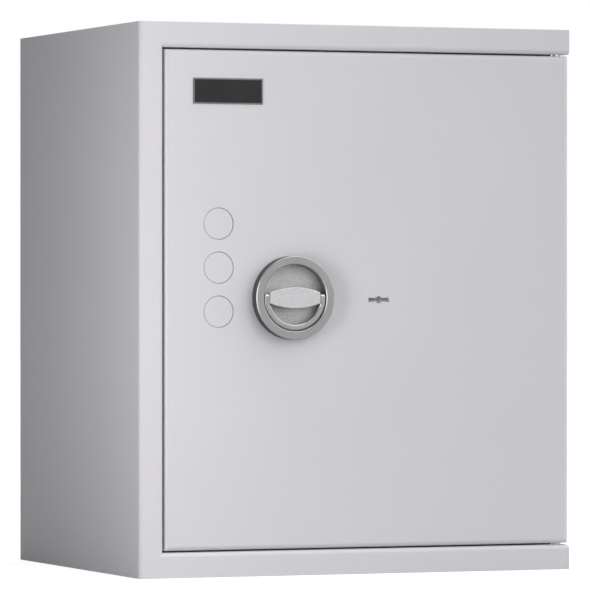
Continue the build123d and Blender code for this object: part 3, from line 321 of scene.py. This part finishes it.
def mineral_filling(name, colour):
    """Cast light mineral filling: pale, chalky, with pores and darker grains."""
    s = Shader(name)
    body = s.noise(45.0, 5.0, 0.6)
    pores = s.span(s.noise(420.0, 2.0), 0.62, 0.72)
    grains = s.span(s.noise(800.0, 1.0), 0.64, 0.7)
    shade = s.span(body, 0.3, 0.7, 0.9, 1.06)
    shade = s.math("SUBTRACT", shade, s.math("MULTIPLY", pores, 0.22))
    shade = s.math("SUBTRACT", shade, s.math("MULTIPLY", grains, 0.12))
    s.relief((body, 0.35, 0.6 * MM), (s.math("SUBTRACT", 1.0, pores), 0.5, 0.5 * MM))
    return s.finish(Base_Color=s.tint(colour, shade), Roughness=0.92)


def grey_rubber(name):
    """Moulded grey rubber: matt, faintly mottled, with a fine textured skin."""
    s = Shader(name)
    skin = s.noise(2200.0, 3.0, 0.6)
    cloud = s.noise(150.0, 3.0)
    shade = s.math("MULTIPLY", s.span(cloud, 0.3, 0.7, 0.88, 1.1), s.span(skin, 0.3, 0.7, 0.9, 1.1))
    s.relief((skin, 0.4, 0.03 * MM))
    return s.finish(Base_Color=s.tint(rgb(0.42, 0.42, 0.43), shade), Roughness=0.8, IOR=1.45)


def black_plate(name, low, high, border):
    """Satin black film with a fine leather-like skin and a bare grey border."""
    s = Shader(name)
    skin = s.noise(1400.0, 3.0, 0.6)
    cloud = s.noise(40.0, 2.0)
    middle = (low + high) / 2
    half = (high - low) / 2
    split = s.node("ShaderNodeSeparateXYZ")
    s.join(s.vector("ABSOLUTE", s.vector("SUBTRACT", s.place, tuple(middle))), split.inputs[0])
    across = s.math("SUBTRACT", half.x - border, split.outputs["X"])
    upright = s.math("SUBTRACT", half.z - border, split.outputs["Z"])
    film = s.span(s.math("MINIMUM", across, upright), -0.05 * MM, 0.05 * MM)
    black = s.tint(rgb(0.014, 0.014, 0.015), s.span(cloud, 0.3, 0.7, 0.85, 1.25))
    grey = s.tint(rgb(0.22, 0.22, 0.225), s.span(skin, 0.3, 0.7, 0.9, 1.1))
    rough = s.span(skin, 0.3, 0.7, 0.42, 0.52)
    s.relief((skin, 0.2, 0.03 * MM), (film, 0.3, 0.05 * MM), radius=0.15 * MM)
    return s.finish(Base_Color=s.blend(film, grey, black), Roughness=rough, IOR=1.4)


case_paint = powder_coat("case_paint", PAINT)
inner_paint = powder_coat("inner_paint", rgb(0.66, 0.655, 0.675), roughness=0.5, texture=1.6)
zinc_steel = plated_steel("zinc_steel", rgb(0.60, 0.61, 0.63))
steel_across = bright_steel("steel_across", rgb(0.66, 0.66, 0.67), "X")
steel_upright = bright_steel("steel_upright", rgb(0.66, 0.66, 0.67), "Z")
steel_inward = bright_steel("steel_inward", rgb(0.60, 0.60, 0.61), "Y")
lock_brass = cast_metal("lock_brass", rgb(0.74, 0.57, 0.28), 0.3)
cast_zinc = cast_metal("cast_zinc", rgb(0.48, 0.48, 0.50), 0.4)
filling = mineral_filling("filling", rgb(0.62, 0.60, 0.56))
rim_metal = turned_metal("rim_metal", rgb(0.345, 0.338, 0.341), 0.38, handle_centre,
                         rim_outer, rim_outer - RIM_FACE)
bail_metal = cast_metal("bail_metal", rgb(0.37, 0.364, 0.368), 0.36, painted_edge_highlight=1.3)
dish_metal = blasted_metal("dish_metal", rgb(0.65, 0.64, 0.645), 0.60, 0.5, 0.22)
bridge_metal = blasted_metal("bridge_metal", rgb(0.68, 0.67, 0.685), 0.55, 0.45, 0.13)
dark_steel = bright_steel("dark_steel", rgb(0.16, 0.16, 0.17), "Y")
label_black = black_plate("label_black", plate_low, plate_high, PLATE_BORDER)
rubber = grey_rubber("rubber")

BY_SLOT = {
    "case_paint": case_paint,
    "inner_paint": inner_paint,
    "filling": filling,
    "zinc_steel": zinc_steel,
    "bright_steel": steel_across,
    "cast_zinc": cast_zinc,
    "lock_brass": lock_brass,
    "handle_satin": rim_metal,
    "handle_blasted": dish_metal,
    "plate_black": label_black,
    "seal_rubber": rubber,
}
BY_NODE = {
    "hinge_pins": steel_upright,
    "top_bolt": steel_upright,
    "bottom_bolt": steel_upright,
    "handle_spindle": steel_inward,
    "cam_disc": steel_inward,
    "drill_plate": steel_inward,
    "key_guide_tube": dark_steel,
    "key_curtain": dark_steel,
    "handle_bail": bail_metal,
    "handle_bridge": bridge_metal,
}
for subpart in frame["record"]["subparts"]:
    chosen = BY_NODE.get(subpart["node"], BY_SLOT[subpart["material_slot"]])
    for holder in nodes[subpart["node"]].material_slots:
        holder.material = chosen


# ---------------------------------------------------------------- floor, light and camera

def floor():
    """Pale floor: a white diffuse ground, lifted towards white where the camera sees it, clear from below."""
    bpy.ops.mesh.primitive_plane_add(size=FLOOR_SIZE, location=(0, 0, casing_low.z - FLOOR_DROP))
    ground = bpy.context.object
    ground.name = "floor"
    s = Shader("floor_white")
    s.finish(Base_Color=rgb(0.42, 0.42, 0.425), Roughness=0.9)
    s.relief((s.noise(40.0, 3.0), 0.05, 1.0 * MM))
    lift = s.node("ShaderNodeEmission")
    lift.inputs["Color"].default_value = rgb(1, 1, 1)
    path = s.node("ShaderNodeLightPath")
    under = s.math("LESS_THAN", path.outputs["Ray Length"], UNDER_REACH)
    soft = s.math("MULTIPLY", under, UNDER_GLOW)
    s.feed(lift.inputs["Strength"], s.math("MULTIPLY_ADD", path.outputs["Is Camera Ray"], FLOOR_LIFT, soft))
    both = s.node("ShaderNodeAddShader")
    s.join(s.surface.outputs["BSDF"], both.inputs[0])
    s.join(lift.outputs[0], both.inputs[1])
    from_below = s.node("ShaderNodeMixShader")
    s.join(s.node("ShaderNodeNewGeometry").outputs["Backfacing"], from_below.inputs[0])
    s.join(both.outputs[0], from_below.inputs[1])
    s.join(s.node("ShaderNodeBsdfTransparent").outputs[0], from_below.inputs[2])
    s.join(from_below.outputs[0], s.output.inputs["Surface"])
    ground.data.materials.append(s.material)


def softbox(name, place, aim, width, height, power):
    """Rectangular soft light that faces a point and isn't itself seen."""
    lamp = bpy.data.lights.new(name, "AREA")
    lamp.shape = "RECTANGLE"
    lamp.size = width
    lamp.size_y = height
    lamp.energy = power
    holder = bpy.data.objects.new(name, lamp)
    holder.location = place
    holder.rotation_mode = "QUATERNION"
    holder.rotation_quaternion = (Vector(aim) - Vector(place)).to_track_quat("-Z", "Y")
    holder.visible_camera = False
    scene.collection.objects.link(holder)


def surroundings():
    """White backdrop for the camera; for light, a soft glow from the front right."""
    world = bpy.data.worlds.new("studio")
    world.use_nodes = True
    scene.world = world
    tree = world.node_tree
    tree.nodes.clear()

    def node(kind, **settings):
        made = tree.nodes.new(kind)
        for key, value in settings.items():
            setattr(made, key, value)
        return made

    output = node("ShaderNodeOutputWorld")
    way = node("ShaderNodeTexCoord").outputs["Generated"]
    facing = node("ShaderNodeVectorMath", operation="DOT_PRODUCT")
    tree.links.new(way, facing.inputs[0])
    facing.inputs[1].default_value = Vector(GLOW_WAY).normalized()
    glow = node("ShaderNodeMapRange", interpolation_type="SMOOTHSTEP")
    tree.links.new(facing.outputs["Value"], glow.inputs["Value"])
    glow.inputs["From Min"].default_value = GLOW_EDGE
    glow.inputs["From Max"].default_value = GLOW_CORE
    glow.inputs["To Max"].default_value = GLOW_HIGH
    parts = node("ShaderNodeSeparateXYZ")
    tree.links.new(way, parts.inputs[0])
    side = node("ShaderNodeMapRange", interpolation_type="SMOOTHSTEP")
    tree.links.new(parts.outputs["X"], side.inputs["Value"])
    side.inputs["From Min"].default_value = GLOW_LEFT_END
    side.inputs["From Max"].default_value = GLOW_LEFT_FULL
    both = node("ShaderNodeMath", operation="MULTIPLY")
    tree.links.new(glow.outputs[0], both.inputs[0])
    tree.links.new(side.outputs[0], both.inputs[1])
    lit = node("ShaderNodeBackground")
    lit.inputs["Color"].default_value = rgb(1, 1, 1)
    tree.links.new(both.outputs[0], lit.inputs["Strength"])
    seen = node("ShaderNodeBackground")
    seen.inputs["Color"].default_value = rgb(1, 1, 1)
    seen.inputs["Strength"].default_value = 1.0
    pick = node("ShaderNodeMixShader")
    path = node("ShaderNodeLightPath")
    tree.links.new(path.outputs["Is Camera Ray"], pick.inputs[0])
    tree.links.new(lit.outputs[0], pick.inputs[1])
    tree.links.new(seen.outputs[0], pick.inputs[2])
    tree.links.new(pick.outputs[0], output.inputs["Surface"])


floor()
surroundings()
softbox("strip_left", (-STRIP_ASIDE, front_y - STRIP_AHEAD, STRIP_Z), (-0.05, front_y + 0.05, STRIP_Z),
        STRIP_WIDE, STRIP_TALL, STRIP_WATTS)
softbox("top_fill", (0.0, -0.3, 2.6), (0.0, -0.2, 0.0), 2.0, 2.0, TOP_WATTS)
softbox("rear_fill", (1.2, 1.3, 1.3), (0.0, 0.0, 0.1), 1.2, 1.2, REAR_WATTS)


def camera():
    """Long lens at the safe's mid height, turned towards its left side, upright lines kept upright."""
    data = bpy.data.cameras.new("camera")
    holder = bpy.data.objects.new("camera", data)
    scene.collection.objects.link(holder)
    holder.location = CAMERA_PLACE
    holder.rotation_euler = (math.radians(90), 0, -math.radians(CAMERA_TURN))
    data.sensor_width = CAMERA_SENSOR
    data.lens = CAMERA_LENS
    data.shift_y = CAMERA_SHIFT_UP
    data.clip_start = 0.1
    data.clip_end = 60.0
    scene.camera = holder


camera()
scene.view_settings.view_transform = "Standard"
scene.view_settings.look = "None"
